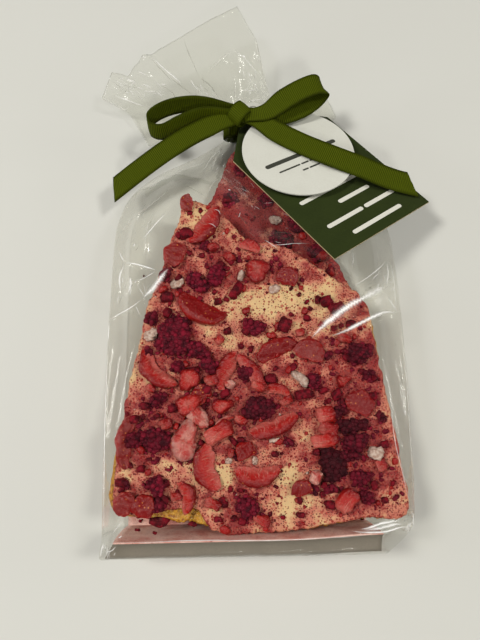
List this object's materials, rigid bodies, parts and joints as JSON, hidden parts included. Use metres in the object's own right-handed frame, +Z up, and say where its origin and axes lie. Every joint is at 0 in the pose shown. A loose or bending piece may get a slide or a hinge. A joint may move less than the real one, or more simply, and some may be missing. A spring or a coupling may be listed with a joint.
{
  "type": "bagged honeycomb toffee slabs",
  "caption": "Clear gift bag of honeycomb toffee slabs topped with white chocolate and red berries, lying flat, tied with a green ribbon bow and two card tags.",
  "frame": {"origin": "middle of the footprint of the whole lying pack, on the table", "axes": "+Z up out of the shown side, +Y from the base card towards the mouth of the bag, +X across the bag to the viewer's right"},
  "size_m": [0.1926, 0.3146, 0.0484],
  "materials": {
    "clear_film": "clear glossy film, creased and gathered",
    "green_ribbon": "olive green ribbed ribbon",
    "green_card": "matt dark green card",
    "white_card": "matt off-white card",
    "base_card": "plain board dusted with berry powder",
    "white_chocolate": "satin cream-coloured chocolate",
    "honeycomb": "brittle amber toffee with open bubbles",
    "berries": "dried red fruit pieces and powder"
  },
  "bodies": {
    "root": {"bag": "clear_film", "ribbon": "green_ribbon", "tag_card": "green_card", "tag_round": "white_card"}
  },
  "joints": []
}
